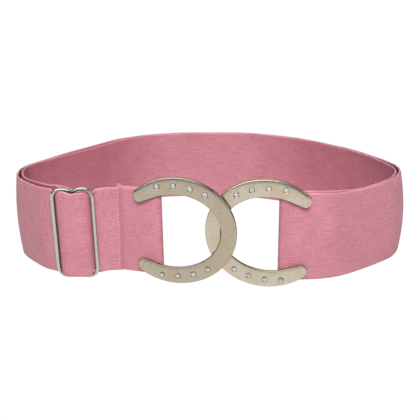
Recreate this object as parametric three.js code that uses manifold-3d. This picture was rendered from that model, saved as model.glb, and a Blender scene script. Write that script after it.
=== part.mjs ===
// A wide elastic waist belt, fastened and standing on its lower edge. Its clasp is two interlocking
// horseshoes set with small stones, and a wire slider sets its length.
// Millimetres. Seen from the front, +X runs to the right, +Y into the loop and +Z up.
// The origin is on the surface that the belt stands on, below the middle of the belt's box.
import * as THREE from "three";
import { mergeVertices } from "three/addons/utils/BufferGeometryUtils.js";
import Module from "manifold-3d";

const wasm = await Module();
wasm.setup();

// Driving dimensions.
const GAP = 0.35; // between pieces, and between layers of the elastic where they touch

const ELASTIC = { width: 60, thickness: 1.5, layers: 4, step: 8, fineStep: 1.6 };
// At the bends the wall bulges, and its lower edge stands outside the upper one.
const LEAN = {
  from: 100,
  to: 142,
  left: { foot: 1.5, bulge: 2.1 },
  right: { foot: 3.2, bulge: 3.0 },
};

// The left half of the wire frame is the right half mirrored. dip is where the middle bar ends.
const SLIDER = {
  x: -90.5,
  y: 20.5,
  yaw: THREE.MathUtils.degToRad(-4),
  wire: 1.4,
  halfWidth: 13.4,
  halfHeight: 31.3,
  straight: 24.3,
  peak: 7,
  dip: 27.9,
  floorGap: 0.2,
};

// high and low are the ends of the two lugs that carry the bar, above and below the middle.
const SHOE = {
  thickness: 2.6,
  bevel: 0.35,
  outer: { centre: 39.6, a: 39.6, b: 37.2, end: THREE.MathUtils.degToRad(51) },
  inner: { centre: 41.2, a: 30.9, b: 25.6, end: THREE.MathUtils.degToRad(67.5) },
  heel: { x: 63.5, y: 19.9, tipX: 68.6, tipLow: 20.2, tipHigh: 27.2 },
  barRadius: 1.5,
  lug: { width: 3.2, high: [28.2, 31], low: [-34, -32.6] },
};
const SHOE_YAW = THREE.MathUtils.degToRad(-9.5);
// x and y: the end of the arch. droop: how far the heels hang down. barAt: from the end of the arch
// to the bar. slack: the play along the belt of the strap's loop round the bar.
const LEFT_SHOE = { x: 17, y: 2.3, droop: THREE.MathUtils.degToRad(1.3), barAt: 55.1, slack: 1.5 };
const RIGHT_SHOE = { x: -3.6, y: 0, droop: THREE.MathUtils.degToRad(1.6), barAt: 53.8, slack: 3 };
const HOOK = { from: 6, stem: 3.3, reach: 17, height: 9, lip: 1.6 };

const STONE = { radius: 1.65, table: 1.0, crown: 0.25, girdle: 0.1, pavilion: 0.9, sides: 12 };
const STONES = { centre: 44, a: 42.2, b: 31.6, first: 55.3, step: 14.8, count: 4 };

// One row for each station of the loop, from beside the right horseshoe round the back to the slider.
// x, y: the outer layer's centre line at its upper edge. inner: how far inside it the inner layer runs.
// lift: the height of the lower edge, which the clasp and the slider raise at the front.
const STATIONS = [
  { x: 60, y: 4.0, inner: 5.6, lift: 4.5 },
  { x: 78, y: 8.4, inner: 4.6, lift: 3.2 },
  { x: 97, y: 21.3, inner: 2.3, lift: 0.9 },
  { x: 117, y: 38, inner: 2.1, lift: 0 },
  { x: 130.5, y: 52, inner: 2.1, lift: 0 },
  { x: 138.3, y: 70.5, inner: 3.2, lift: 0 },
  { x: 136.8, y: 86.5, inner: 3.8, lift: 0 },
  { x: 125, y: 112.5, inner: 2.6, lift: 0 },
  { x: 107, y: 140.5, inner: 2.1, lift: 0 },
  { x: 83, y: 165, inner: 2.1, lift: 0 },
  { x: 50, y: 184.5, inner: 2.6, lift: 0 },
  { x: 12, y: 193.5, inner: 3.0, lift: 0 },
  { x: -25, y: 195, inner: 3.0, lift: 0 },
  { x: -55, y: 189.5, inner: 2.8, lift: 0 },
  { x: -80, y: 172, inner: 2.4, lift: 0 },
  { x: -105, y: 142, inner: 2.1, lift: 0 },
  { x: -127, y: 112.5, inner: 2.1, lift: 0 },
  { x: -139, y: 93.5, inner: 2.4, lift: 0 },
  { x: -141.2, y: 80, inner: 2.8, lift: 0 },
  { x: -137.5, y: 63.5, inner: 4.0, lift: 0 },
  { x: -127, y: 47.8, inner: 5.5, lift: 0.5 },
  { x: -114.2, y: 32.2, inner: 7.5, lift: 1.7 },
];

const halfWidth = ELASTIC.width / 2;
const halfThickness = ELASTIC.thickness / 2;

// Solids.

function solid(geometry) {
  const bare = geometry.clone();
  bare.deleteAttribute("normal");
  bare.deleteAttribute("uv");
  const merged = mergeVertices(bare, 1e-4);
  return new wasm.Manifold(
    new wasm.Mesh({
      numProp: 3,
      vertProperties: merged.attributes.position.array,
      triVerts: new Uint32Array(merged.index.array),
    }),
  );
}

function geometryOf(made) {
  const mesh = made.getMesh();
  const geometry = new THREE.BufferGeometry();
  geometry.setAttribute("position", new THREE.BufferAttribute(mesh.vertProperties, mesh.numProp));
  geometry.setIndex(new THREE.BufferAttribute(mesh.triVerts, 1));
  const flat = geometry.toNonIndexed();
  flat.computeVertexNormals();
  return flat;
}

function joined(pieces) {
  return pieces.map(solid).reduce((whole, piece) => whole.add(piece));
}

function box(x0, x1, y0, y1, z0, z1) {
  const geometry = new THREE.BoxGeometry(x1 - x0, y1 - y0, z1 - z0);
  return geometry.translate((x0 + x1) / 2, (y0 + y1) / 2, (z0 + z1) / 2);
}

function wire(path, radius, sides, steps) {
  const section = new THREE.Shape();
  for (let i = 0; i < sides; i++) {
    const angle = (2 * Math.PI * i) / sides;
    section[i ? "lineTo" : "moveTo"](radius * Math.cos(angle), radius * Math.sin(angle));
  }
  return new THREE.ExtrudeGeometry(section, { extrudePath: path, steps, curveSegments: 1 });
}

// Places seen from above, as [x, y] pairs, with the lower edge's height as z.

function alongYaw(yaw, along, back) {
  return [along * Math.cos(yaw) - back * Math.sin(yaw), along * Math.sin(yaw) + back * Math.cos(yaw)];
}

function arc(centre, radius, fromDegrees, toDegrees, lift) {
  const count = Math.max(3, Math.ceil((Math.abs(toDegrees - fromDegrees) * radius) / 130));
  return Array.from({ length: count + 1 }, (_, i) => {
    const angle = THREE.MathUtils.degToRad(fromDegrees + ((toDegrees - fromDegrees) * i) / count);
    return new THREE.Vector3(
      centre[0] + radius * Math.cos(angle),
      centre[1] + radius * Math.sin(angle),
      lift,
    );
  });
}

// The plates' front faces are parallel, and the right one lies just behind the left one.
const shoeStep = (SHOE.thickness + GAP) / Math.cos(SHOE_YAW);
RIGHT_SHOE.y = LEFT_SHOE.y + (RIGHT_SHOE.x - LEFT_SHOE.x) * Math.tan(SHOE_YAW) + shoeStep;
const barDepth = SHOE.thickness + 2 * GAP + ELASTIC.thickness + SHOE.barRadius;

// A shoe turns about the middle of its outer curve, which is this high when the shoe touches the floor.
function shoeHeight(shoe) {
  const { a, b } = SHOE.outer;
  return Math.hypot(b * Math.cos(shoe.droop), a * Math.sin(shoe.droop));
}

function alongShoe(shoe, side, along, back) {
  const [dx, dy] = alongYaw(SHOE_YAW, side * along, back);
  return [shoe.x + dx, shoe.y + dy];
}

// The middle of the strap's loop round a bar. side is -1 where the heels are on the left.
function loopMiddle(shoe, side) {
  return alongShoe(shoe, side, shoe.barAt - shoe.slack, barDepth);
}

function loopLift(shoe) {
  const droop = (shoe.barAt - SHOE.outer.centre) * Math.sin(shoe.droop);
  return shoeHeight(shoe) - droop + SHOE.lug.low[1] + GAP;
}

// The slider's wire, in its own plane: x along the belt, y up. One half, from dip to dip.
function sliderHalf(side) {
  const { halfWidth: w, halfHeight: h, straight: s, peak: p, dip: d } = SLIDER;
  const point = (x, y) => new THREE.Vector3(side * x, y, 0);
  const path = new THREE.CurvePath();
  path.add(new THREE.CubicBezierCurve3(point(0, d), point(2.2, d + 2.3), point(4.4, h), point(p, h)));
  path.add(new THREE.CubicBezierCurve3(point(p, h), point(11, h), point(w, 28.6), point(w, s)));
  path.add(new THREE.LineCurve3(point(w, s), point(w, -s)));
  path.add(new THREE.CubicBezierCurve3(point(w, -s), point(w, -28.6), point(11, -h), point(p, -h)));
  path.add(new THREE.CubicBezierCurve3(point(p, -h), point(4.4, -h), point(2.2, -d - 2.3), point(0, -d)));
  return path;
}

const sliderHeight = SLIDER.floorGap + SLIDER.halfHeight + SLIDER.wire;
const sliderLift = sliderHeight - halfWidth;
const lobe = [-1, 1].flatMap((side) => {
  const path = sliderHalf(side);
  return path.curves.slice(0, 2).flatMap((curve) => curve.getPoints(20));
});

// The half width that is left to the elastic where it passes through the slider's rounded windows.
function squeezedHalfWidth(point) {
  const away = [point.x - SLIDER.x, point.y - SLIDER.y];
  const [along, back] = alongYaw(-SLIDER.yaw, away[0], away[1]);
  const reach = SLIDER.wire + GAP + halfThickness;
  let limit = halfWidth;
  for (const place of lobe) {
    const left = reach ** 2 - (along - place.x) ** 2 - back ** 2;
    if (left > 0) limit = Math.min(limit, place.y - Math.sqrt(left));
  }
  return limit;
}

// The elastic's route, seen from above.

function sliderPoint(along, back, lift = sliderLift) {
  const [dx, dy] = alongYaw(SLIDER.yaw, along, back);
  return new THREE.Vector3(SLIDER.x + dx, SLIDER.y + dy, lift);
}

function elasticRoute() {
  const outer = STATIONS.map(({ x, y, lift }) => new THREE.Vector3(x, y, lift));
  const inner = STATIONS.map((station, i) => {
    const before = outer[Math.max(i - 1, 0)];
    const after = outer[Math.min(i + 1, outer.length - 1)];
    const inward = new THREE.Vector3(before.y - after.y, after.x - before.x, 0).normalize();
    return outer[i].clone().addScaledVector(inward, station.inner);
  }).reverse();

  const shoeDegrees = THREE.MathUtils.radToDeg(SHOE_YAW);
  const barWrap = SHOE.barRadius + GAP + halfThickness;
  const loop = SLIDER.wire + GAP + halfThickness;
  const middle = [SLIDER.x, SLIDER.y];
  const [leftWire, rightWire] = [-1, 1].map((side) => {
    const { x, y } = sliderPoint(side * SLIDER.halfWidth, 0);
    return [x, y];
  });

  const sewnEnd = [sliderPoint(-12.6, 9.6), sliderPoint(-8.4, 6.0), sliderPoint(-4.8, 1.9)];
  const roundMiddleBar = arc(middle, loop, 231, 411, sliderLift);
  const toInner = [sliderPoint(-7.4, 8.3), sliderPoint(-12.6, 12.4, 2.4)];
  const rightLoop = loopMiddle(RIGHT_SHOE, 1);
  const leftLoop = loopMiddle(LEFT_SHOE, -1);
  const rightLift = loopLift(RIGHT_SHOE);
  const leftLift = loopLift(LEFT_SHOE);
  const roundRightBar = arc(rightLoop, barWrap, 90 + shoeDegrees, 270 + shoeDegrees, rightLift);
  const underLeftWire = [sliderPoint(-17.4, 5.2, 2.5), ...arc(leftWire, loop + 0.1, 96, 36, sliderLift)];
  const halfArch = [[9.6, -2.2], [6.6, -4.3], [2.4, -5]];
  const overMiddleBar = [
    ...halfArch.map(([along, back]) => sliderPoint(-along, back)),
    ...halfArch.toReversed().map(([along, back]) => sliderPoint(along, back)),
  ];
  const underRightWire = arc(rightWire, loop + 0.1, 136, 80, sliderLift);
  const toClasp = [
    new THREE.Vector3(-71, 22.9, 3.8),
    new THREE.Vector3(-60, 22.3, 4.5),
    new THREE.Vector3(-47, 18.9, 4.6),
  ];
  const roundLeftBar = arc(leftLoop, barWrap, -90 + shoeDegrees, 90 + shoeDegrees, leftLift);
  const turnedBack = [new THREE.Vector3(-47, 21.3, 4.6), new THREE.Vector3(-60.5, 24.9, 4.4)];

  return [
    ...sewnEnd,
    ...roundMiddleBar,
    ...toInner,
    ...inner,
    ...roundRightBar,
    ...outer,
    ...underLeftWire,
    ...overMiddleBar,
    ...underRightWire,
    ...toClasp,
    ...roundLeftBar,
    ...turnedBack,
  ];
}

// A smooth line through the route's points, with short steps at the slider.
function sampled(points) {
  const curve = new THREE.CatmullRomCurve3(points, false, "centripetal");
  const last = points.length - 1;
  const line = [];
  for (let i = 0; i < last; i++) {
    const nearSlider = Math.hypot(points[i].x - SLIDER.x, points[i].y - SLIDER.y) < 19;
    const step = nearSlider ? ELASTIC.fineStep : ELASTIC.step;
    const count = Math.max(1, Math.round(points[i].distanceTo(points[i + 1]) / step));
    for (let j = 0; j < count; j++) line.push(curve.getPoint((i + j / count) / last));
  }
  line.push(points[last].clone());
  return line;
}

function elasticGeometry() {
  const line = sampled(elasticRoute());
  const levels = ELASTIC.layers;
  const ring = 2 * (levels + 1);
  const positions = [];
  line.forEach((point, i) => {
    const before = line[Math.max(i - 1, 0)];
    const after = line[Math.min(i + 1, line.length - 1)];
    const across = new THREE.Vector3(after.y - before.y, before.x - after.x, 0).normalize();
    const outward = Math.sign(point.x * across.x + (point.y - 95) * across.y);
    const lean = THREE.MathUtils.smoothstep(Math.abs(point.x), LEAN.from, LEAN.to);
    const { foot, bulge } = point.x < 0 ? LEAN.left : LEAN.right;
    const half = squeezedHalfWidth(point);
    for (let k = 0; k < ring; k++) {
      const side = k <= levels ? 1 : -1;
      const share = (k <= levels ? k : ring - 1 - k) / levels;
      const bent = (1 - share) * (foot + 4 * bulge * share);
      const shift = side * halfThickness + outward * lean * bent;
      positions.push(
        point.x + across.x * shift,
        point.y + across.y * shift,
        Math.max(0, point.z) + halfWidth + half * (2 * share - 1),
      );
    }
  });

  const index = [];
  for (let i = 0; i + 1 < line.length; i++) {
    for (let k = 0; k < ring; k++) {
      const a = i * ring + k;
      const b = i * ring + ((k + 1) % ring);
      index.push(a, a + ring, b, b, a + ring, b + ring);
    }
  }
  const lastRing = (line.length - 1) * ring;
  for (let k = 0; k < levels; k++) {
    const mate = ring - 1 - k;
    index.push(k, k + 1, mate, k + 1, mate - 1, mate);
    index.push(lastRing + k, lastRing + mate, lastRing + k + 1);
    index.push(lastRing + k + 1, lastRing + mate, lastRing + mate - 1);
  }
  const geometry = new THREE.BufferGeometry();
  geometry.setAttribute("position", new THREE.Float32BufferAttribute(positions, 3));
  geometry.setIndex(index);
  return geometry;
}

// The slider, upright in its own frame: x along the belt, y up, z to the front.
function sliderGeometry() {
  const ends = SLIDER.dip + SLIDER.wire / 2;
  const bar = new THREE.LineCurve3(new THREE.Vector3(0, -ends, 0), new THREE.Vector3(0, ends, 0));
  const halves = [-1, 1].map((side) => wire(sliderHalf(side), SLIDER.wire, 10, 56));
  return geometryOf(joined([wire(bar, SLIDER.wire, 10, 1), ...halves]));
}

// A horseshoe, upright in its own frame: x from the arch to the heels, y up, z to the front.
// Its front face is z = 0.

function shoeOutline() {
  const { outer, inner, heel } = SHOE;
  const start = [
    outer.centre + outer.a * Math.cos(outer.end),
    outer.b * Math.sin(outer.end),
  ];
  const innerEnd = [
    inner.centre + inner.a * Math.cos(inner.end),
    inner.b * Math.sin(inner.end),
  ];
  const outline = new THREE.Shape();
  outline.absellipse(outer.centre, 0, outer.a, outer.b, outer.end, -outer.end, false);
  outline.bezierCurveTo(
    heel.tipX, -heel.tipHigh, heel.tipX, -heel.tipLow, heel.x, -heel.y,
  );
  outline.lineTo(innerEnd[0], -innerEnd[1]);
  outline.absellipse(inner.centre, 0, inner.a, inner.b, -inner.end, inner.end, true);
  outline.lineTo(heel.x, heel.y);
  outline.bezierCurveTo(heel.tipX, heel.tipLow, heel.tipX, heel.tipHigh, start[0], start[1]);
  return outline;
}

function stonePlaces() {
  const places = [];
  for (const side of [1, -1]) {
    for (let i = 0; i < STONES.count; i++) {
      const angle = THREE.MathUtils.degToRad(STONES.first + i * STONES.step);
      places.push([
        STONES.centre - STONES.a * Math.cos(angle),
        side * STONES.b * Math.sin(angle),
      ]);
    }
  }
  return places;
}

function shoeGeometry(barAt, heelsLeft) {
  const { thickness, bevel, barRadius, lug } = SHOE;
  const plate = new THREE.ExtrudeGeometry(shoeOutline(), {
    depth: thickness - 2 * bevel,
    bevelThickness: bevel,
    bevelSize: bevel,
    bevelOffset: -bevel,
    bevelSegments: 1,
    curveSegments: 18,
  }).translate(0, 0, bevel - thickness);

  // The left shoe is the right one turned over, and its lugs trade ends to stay the right way up.
  const up = heelsLeft ? -1 : 1;
  const ends = [up * lug.low[0], up * lug.high[1]];
  const bar = new THREE.CylinderGeometry(barRadius, barRadius, lug.high[1] - lug.low[0], 12);
  const back = -barDepth - barRadius;
  const pieces = [plate, bar.translate(barAt, (ends[0] + ends[1]) / 2, -barDepth)];
  for (const reach of [lug.low, lug.high]) {
    const [y0, y1] = reach.map((y) => up * y).sort((p, q) => p - q);
    pieces.push(box(barAt - lug.width / 2, barAt + lug.width / 2, y0, y1, back, -thickness / 2));
  }
  if (heelsLeft) {
    const half = HOOK.height / 2;
    const lipFront = -2 * thickness - 2 * GAP;
    const lipBack = lipFront - HOOK.lip;
    pieces.push(box(HOOK.from, HOOK.from + HOOK.stem, -half, half, lipBack, -thickness / 2));
    pieces.push(box(HOOK.from, HOOK.reach, -half, half, lipBack, lipFront));
  }

  const seatRadius = STONE.radius + GAP;
  const seatDepth = STONE.pavilion + GAP;
  const seats = stonePlaces().map(([x, y]) => {
    const seat = new THREE.CylinderGeometry(seatRadius, seatRadius, 2 * seatDepth, 16);
    return seat.rotateX(Math.PI / 2).translate(x, y, 0);
  });
  return geometryOf(joined(pieces).subtract(joined(seats)));
}

// A round cut stone: a table, a ring of crown facets, a thin girdle and a ring of pavilion facets.
function stoneGeometry() {
  const { radius, table, crown, girdle, pavilion, sides } = STONE;
  const profile = [
    new THREE.Vector2(0, -pavilion),
    new THREE.Vector2(radius, -girdle),
    new THREE.Vector2(radius, 0),
    new THREE.Vector2(table, crown),
    new THREE.Vector2(0, crown),
  ];
  return new THREE.LatheGeometry(profile, sides).rotateX(Math.PI / 2);
}

// Materials, one for each piece.

const material = (color, roughness, metalness) =>
  new THREE.MeshStandardMaterial({ color, roughness, metalness });
const elasticPink = () => material(0xd18a98, 0.85, 0);
const satinNickel = () => material(0xb8ae98, 0.38, 1);
const polishedNickel = () => material(0xb9bab6, 0.18, 1);
const clearStone = () => material(0xf2f2ee, 0.05, 0);

// The belt. Each upright piece stands in a group that is turned about the vertical.

function mesh(name, geometry, finish) {
  const made = new THREE.Mesh(geometry, finish);
  made.name = name;
  return made;
}

function upright(x, y, z, yaw) {
  const turned = new THREE.Group();
  turned.position.set(x, y, z);
  turned.rotation.z = yaw;
  const standing = new THREE.Group();
  standing.rotation.x = Math.PI / 2;
  turned.add(standing);
  return { turned, standing };
}

// The shoe hangs from a pivot at the middle of its outer curve.
function horseshoe(name, place, heelsLeft) {
  const middle = SHOE.outer.centre;
  const [x, y] = alongShoe(place, heelsLeft ? -1 : 1, middle, 0);
  const { turned, standing } = upright(x, y, shoeHeight(place), SHOE_YAW);
  const pivot = new THREE.Group();
  pivot.rotation.z = heelsLeft ? Math.PI + place.droop : -place.droop;
  pivot.add(mesh(name + "_horseshoe", shoeGeometry(place.barAt, heelsLeft), satinNickel()));
  stonePlaces().forEach(([stoneX, stoneY], i) => {
    const stone = mesh(name + "_stone_" + (i + 1), stoneGeometry(), clearStone());
    stone.position.set(stoneX, stoneY, 0);
    pivot.add(stone);
  });
  for (const piece of pivot.children) piece.position.x -= middle;
  standing.add(pivot);
  return turned;
}

const loop = new THREE.Group();
loop.add(mesh("elastic_strap", elasticGeometry(), elasticPink()));
const glide = upright(SLIDER.x, SLIDER.y, sliderHeight, SLIDER.yaw);
glide.standing.add(mesh("slider", sliderGeometry(), polishedNickel()));
loop.add(glide.turned);
loop.add(horseshoe("left", LEFT_SHOE, true));
loop.add(horseshoe("right", RIGHT_SHOE, false));

const span = new THREE.Box3().setFromObject(loop, true);
const middleOfBox = span.getCenter(new THREE.Vector3());
loop.position.set(-middleOfBox.x, -middleOfBox.y, -span.min.z);

const belt = new THREE.Group();
belt.name = "elastic_belt";
belt.add(loop);

export default belt;
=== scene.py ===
# %% [markdown]
# # An elastic waist belt, dressed for the camera
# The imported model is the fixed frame: it says where each piece is and how big it is. This lesson
# gives every piece the surface of the real one. The soft band is made again with a fine section and
# a weave, the cast horseshoes and the wire slider get smooth rounded forms, and the thread of the
# seams is laid on last.

# %% Load the frame
import math

import bmesh
import bpy
import numpy as np
from mathutils import Matrix, Vector


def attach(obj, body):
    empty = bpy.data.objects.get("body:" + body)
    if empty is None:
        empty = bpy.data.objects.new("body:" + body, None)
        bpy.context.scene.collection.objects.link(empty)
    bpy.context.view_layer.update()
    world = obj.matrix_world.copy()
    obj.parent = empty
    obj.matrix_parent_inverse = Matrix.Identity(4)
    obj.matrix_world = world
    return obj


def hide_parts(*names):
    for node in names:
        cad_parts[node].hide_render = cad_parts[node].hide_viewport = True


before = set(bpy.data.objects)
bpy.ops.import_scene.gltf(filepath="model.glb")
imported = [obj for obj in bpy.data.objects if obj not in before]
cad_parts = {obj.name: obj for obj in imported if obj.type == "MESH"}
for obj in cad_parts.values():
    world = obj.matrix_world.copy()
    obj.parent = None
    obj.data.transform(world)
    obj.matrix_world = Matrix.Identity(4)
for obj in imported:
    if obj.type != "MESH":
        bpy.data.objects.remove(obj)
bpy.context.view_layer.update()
MM = 0.001
WELD = 0.001 * MM  # points closer than this are one point

# %% [markdown]
# ## From a grid of points to a mesh
# Every new piece is a grid of points worked out with numpy: one direction runs along the piece and
# the other round its section. One helper turns such a grid into a closed mesh, so that each piece
# only has to say where its points are. It merges the doubled points that a pole or a cap leaves
# behind, and turns the faces outwards.

# %% Grid helpers


def grid_faces(rows, columns, loop=False):
    """Quads between neighbours of a grid whose last column joins the first. loop joins the last row
    to the first too."""
    row, column = np.mgrid[: rows if loop else rows - 1, :columns]
    beside, after = (column + 1) % columns, (row + 1) % rows * columns
    row *= columns
    return np.stack([row + column, row + beside, after + beside, after + column], -1).reshape(-1, 4)


def new_object(name, data):
    """An object that holds this data, in the scene."""
    made = bpy.data.objects.new(name, data)
    bpy.context.collection.objects.link(made)
    return made


def mesh_object(name, points, faces, uv=None, smooth=35):
    """A mesh object in metres from millimetre points and quads. uv gives one pair for each point,
    and edges sharper than smooth degrees stay sharp."""
    mesh = bpy.data.meshes.new(name)
    flat = np.asarray(points, float).reshape(-1, 3) * MM
    mesh.from_pydata(flat.tolist(), [], np.asarray(faces).tolist())
    if uv is not None:
        corner = np.zeros(len(mesh.loops), np.int32)
        mesh.loops.foreach_get("vertex_index", corner)
        layer = mesh.uv_layers.new(name="along")
        layer.data.foreach_set("uv", np.asarray(uv, np.float32).reshape(-1, 2)[corner].ravel())
    tidy = bmesh.new()
    tidy.from_mesh(mesh)
    bmesh.ops.remove_doubles(tidy, verts=tidy.verts, dist=WELD)
    bmesh.ops.recalc_face_normals(tidy, faces=tidy.faces)
    tidy.to_mesh(mesh)
    tidy.free()
    mesh.polygons.foreach_set("use_smooth", np.ones(len(mesh.polygons), bool))
    mesh.set_sharp_from_angle(angle=math.radians(smooth))
    return new_object(name, mesh)


def with_faces(rings, loop=False):
    """Rings of points, together with the faces between them."""
    return rings, grid_faces(*rings.shape[:2], loop=loop)


def circle(radius, sides):
    """Points of a circle: radius times the cosine and the sine of equal turns."""
    turn = np.arange(sides) * 2 * np.pi / sides
    return np.column_stack([radius * np.cos(turn), radius * np.sin(turn)])


def unit(vectors):
    """Rows of vectors, each made one long."""
    return vectors / np.linalg.norm(vectors, axis=1, keepdims=True)


def tangents(path, loop=False):
    """Unit tangents: the difference of each point's two neighbours, made one long."""
    round_it = np.roll(path, -1, axis=0) - np.roll(path, 1, axis=0)
    return unit(round_it if loop else np.gradient(path, axis=0))


# The ring before an end's tip is this far out, in millimetres, and this share of the section.
CAP_OUT, CAP_SIZE = 0.12, 0.9


def swept(path, upward, section, loop=False):
    """A section carried along a path, with faces. A ring is the path's point, plus the section's
    first number times the sideways vector, plus its second times the upward one. An open path's end
    gets two more rings, a smaller one a little further out and one shrunk to a point."""
    along = tangents(path, loop)
    up = unit(upward - (along * upward).sum(axis=1, keepdims=True) * along)
    side = np.cross(along, up)
    rings = path[:, None] + section[:, :1] * side[:, None] + section[:, 1:] * up[:, None]
    if not loop:
        first, last = path[0] - CAP_OUT * along[0], path[-1] + CAP_OUT * along[-1]
        start = first + CAP_SIZE * (rings[0] - path[0])
        end = last + CAP_SIZE * (rings[-1] - path[-1])
        start_tip, end_tip = start * 0 + first, end * 0 + last
        rings = np.concatenate([[start_tip, start], rings, [end, end_tip]])
    return with_faces(rings, loop)


def places_at(at, length, curve):
    """Points of a curve, or what goes with it, at places given by their length along it."""
    return np.column_stack([np.interp(at, length, c) for c in curve.T])


def cubic(controls, t):
    """A cubic curve's points at shares t of the way, from its ends and the two controls between."""
    t = t[:, None]
    weights = ((1 - t) ** 3, 3 * t * (1 - t) ** 2, 3 * t**2 * (1 - t), t**3)
    return sum(w * np.array(q, float) for w, q in zip(weights, controls))


def bell(at, height, centre, width):
    """A bell curve: height times e to the minus square of the distance in widths from centre."""
    return height * np.exp(-(((at - centre) / width) ** 2))


def running_mean(values, count):
    """Each value's mean with its neighbours, count in all. The ends are repeated outwards."""
    padded = np.pad(values, count // 2, mode="edge")
    return np.convolve(padded, np.ones(count) / count, mode="valid")


# %% [markdown]
# ## Sizes of the belt
# These are the named values of the part's own source, in millimetres. The whole loop is then moved
# so that its box stands over the origin, exactly as the solids are.

# %% Sizes
SHIFT = np.array([0.533, -96.812, 0.0])
GAP = 0.35
# The elastic's half width and half thickness.
HALF, THIN = 30.0, 0.75
# At the bends the wall leans, and the lean fades in between two distances from the middle. Each
# bend has the reach of its foot and of its bulge.
LEAN = {"from": 100.0, "to": 142.0, "left": (1.5, 2.1), "right": (3.2, 3.0)}
SLIDER = {
    "x": -90.5, "y": 20.5, "yaw": math.radians(-4), "wire": 1.4, "side": 13.4, "straight": 24.3,
    "top": 31.3, "peak": 7.0, "dip": 28.3, "shoulder": 28.6, "left_hump": 30.4, "floor_gap": 0.2,
}
SHOE_YAW = math.radians(-9.5)
# An ellipse is its centre, half length, half height, and the angle at which the heel takes over.
PLATE = {"thickness": 2.6, "outer": (39.6, 39.6, 37.2, 51.0), "inner": (41.2, 30.9, 25.6, 67.5)}
HEEL = {"x": 63.5, "y": 19.9, "tip": 68.6, "tip_low": 20.2, "tip_high": 27.2}
# The lower and the upper face of each lug, above the middle, and a lug's half width.
BAR = {"radius": 1.5, "high": (28.2, 31.0), "low": (-34.0, -32.6), "lug": 1.6}
LEFT_SHOE = {"x": 17.0, "y": 2.3, "droop": math.radians(1.3), "bar_at": 55.1, "slack": 1.5}
RIGHT_SHOE = {"x": -3.6, "droop": math.radians(1.6), "bar_at": 53.8, "slack": 3.0}
RIGHT_SHOE["y"] = LEFT_SHOE["y"] + (RIGHT_SHOE["x"] - LEFT_SHOE["x"]) * math.tan(SHOE_YAW)
RIGHT_SHOE["y"] += (PLATE["thickness"] + GAP) / math.cos(SHOE_YAW)
HOOK = {"from": 6.0, "stem": 3.3, "reach": 17.0, "height": 9.0, "lip": 1.6}
STONES = {"centre": 44.0, "a": 42.2, "b": 31.6, "first": 55.3, "step": 14.8, "count": 4}
BAR_DEPTH = PLATE["thickness"] + 2 * GAP + 2 * THIN + BAR["radius"]
SLIDER_HEIGHT = SLIDER["floor_gap"] + SLIDER["top"] + SLIDER["wire"]
SLIDER_LIFT = SLIDER_HEIGHT - HALF

# One row for each station of the loop, from beside the right horseshoe round the back to the
# slider: x and y of the outer layer at its upper edge, how far inside it the inner layer runs, and
# the lift.
STATIONS = np.array([
    (60, 4.0, 5.6, 4.5), (78, 8.4, 4.6, 3.2), (97, 21.3, 2.3, 0.9), (117, 38, 2.1, 0),
    (130.5, 52, 2.1, 0), (138.3, 70.5, 3.2, 0), (136.8, 86.5, 3.8, 0), (125, 112.5, 2.6, 0),
    (107, 140.5, 2.1, 0), (83, 165, 2.1, 0), (50, 184.5, 2.6, 0), (12, 193.5, 3.0, 0),
    (-25, 195, 3.0, 0), (-55, 189.5, 2.8, 0), (-80, 172, 2.4, 0), (-105, 142, 2.1, 0),
    (-127, 112.5, 2.1, 0), (-139, 93.5, 2.4, 0), (-141.2, 80, 2.8, 0), (-137.5, 63.5, 4.0, 0),
    (-127, 47.8, 5.5, 0.5), (-114.2, 32.2, 7.5, 1.7),
])

# %% [markdown]
# ## The camera first
# The photograph was taken from a little above the belt, close enough for the near wall to look
# taller than the far one. The camera stands at the fitted place, looks 20 degrees down and is
# rolled by less than a degree. It comes first, so that every later step can be judged through it.

# %% Camera
# The focal length and the picture's width in pixels, and the sensor's width in millimetres.
FOCAL, PICTURE, SENSOR = 648, 420, 36
CAMERA_AT, LOOK_DOWN, ROLL = np.array([0.0, -383.0, 195.0]), 20, -0.69
lens = bpy.data.cameras.new("camera")
lens.lens = FOCAL / PICTURE * SENSOR
lens.sensor_width = SENSOR
camera = new_object("camera", lens)
camera.matrix_world = (
    Matrix.Translation(Vector((CAMERA_AT + SHIFT) * MM))
    @ Matrix.Rotation(math.radians(90 - LOOK_DOWN), 4, "X")
    @ Matrix.Rotation(math.radians(ROLL), 4, "Z")
)
bpy.context.scene.camera = camera

# %% [markdown]
# ## The route of the elastic
# The belt is one long strip. It is sewn round the slider's middle bar, runs round the waist as the
# inner layer, turns back round the right horseshoe's bar, comes round again as the outer layer,
# goes through the slider over its middle bar, and is turned back and sewn round the left
# horseshoe's bar. Seen from above it is a line, so a smooth curve through a few places gives all of
# it, and a section carried along that line gives the strip.

# %% Route seen from above
# An arc's steps, in degrees times millimetres of radius: about 2.3 mm each.
ARC_STEP = 130


def along_yaw(yaw, along, back):
    """A step along a yawed line and one square to it, as x and y."""
    cos, sin = math.cos(yaw), math.sin(yaw)
    return np.array([along * cos - back * sin, along * sin + back * cos])


def arc(centre, radius, start, end, lift):
    """Points of an arc from start to end degrees, all at one lift."""
    count = max(3, math.ceil(abs(end - start) * radius / ARC_STEP))
    turn = np.radians(np.linspace(start, end, count + 1))
    x, y = centre[0] + radius * np.cos(turn), centre[1] + radius * np.sin(turn)
    return np.column_stack([x, y, np.full(count + 1, lift)])


def at_slider(*places):
    """Places along and behind the slider, with their lift where it isn't the slider's own."""
    rows = [(*place, SLIDER_LIFT)[:3] for place in places]
    middle = np.array([SLIDER["x"], SLIDER["y"]])
    return np.array([(*(middle + along_yaw(SLIDER["yaw"], a, b)), lift) for a, b, lift in rows])


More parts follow.
